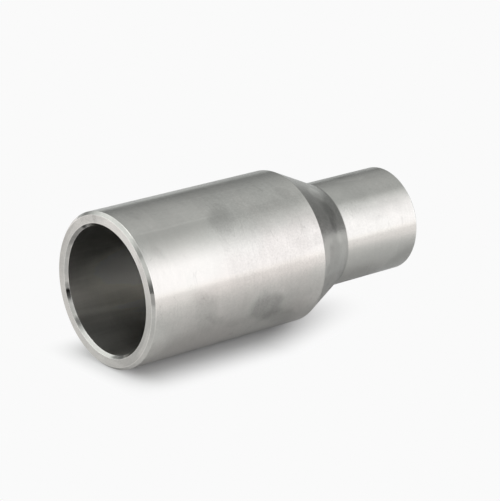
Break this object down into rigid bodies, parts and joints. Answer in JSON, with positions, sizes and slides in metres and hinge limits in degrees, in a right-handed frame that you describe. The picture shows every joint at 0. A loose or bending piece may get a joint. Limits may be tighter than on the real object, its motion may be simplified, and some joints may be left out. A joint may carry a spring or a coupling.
{
  "type": "swage nipple",
  "caption": "Concentric swage nipple: a thick-walled plain pipe stub that steps down through a short cone to a narrower plain stub, bored right through, with chamfered rims.",
  "frame": {"origin": "centre of the large end's face, on the axis of the bore", "axes": "+Z along the axis, from the large end towards the small end; round about Z"},
  "size_m": [0.0484, 0.0484, 0.1117],
  "materials": {
    "turned_stainless": "satin, with fine turning marks round the axis"
  },
  "bodies": {
    "root": {"swage_nipple": "turned_stainless"}
  },
  "joints": []
}
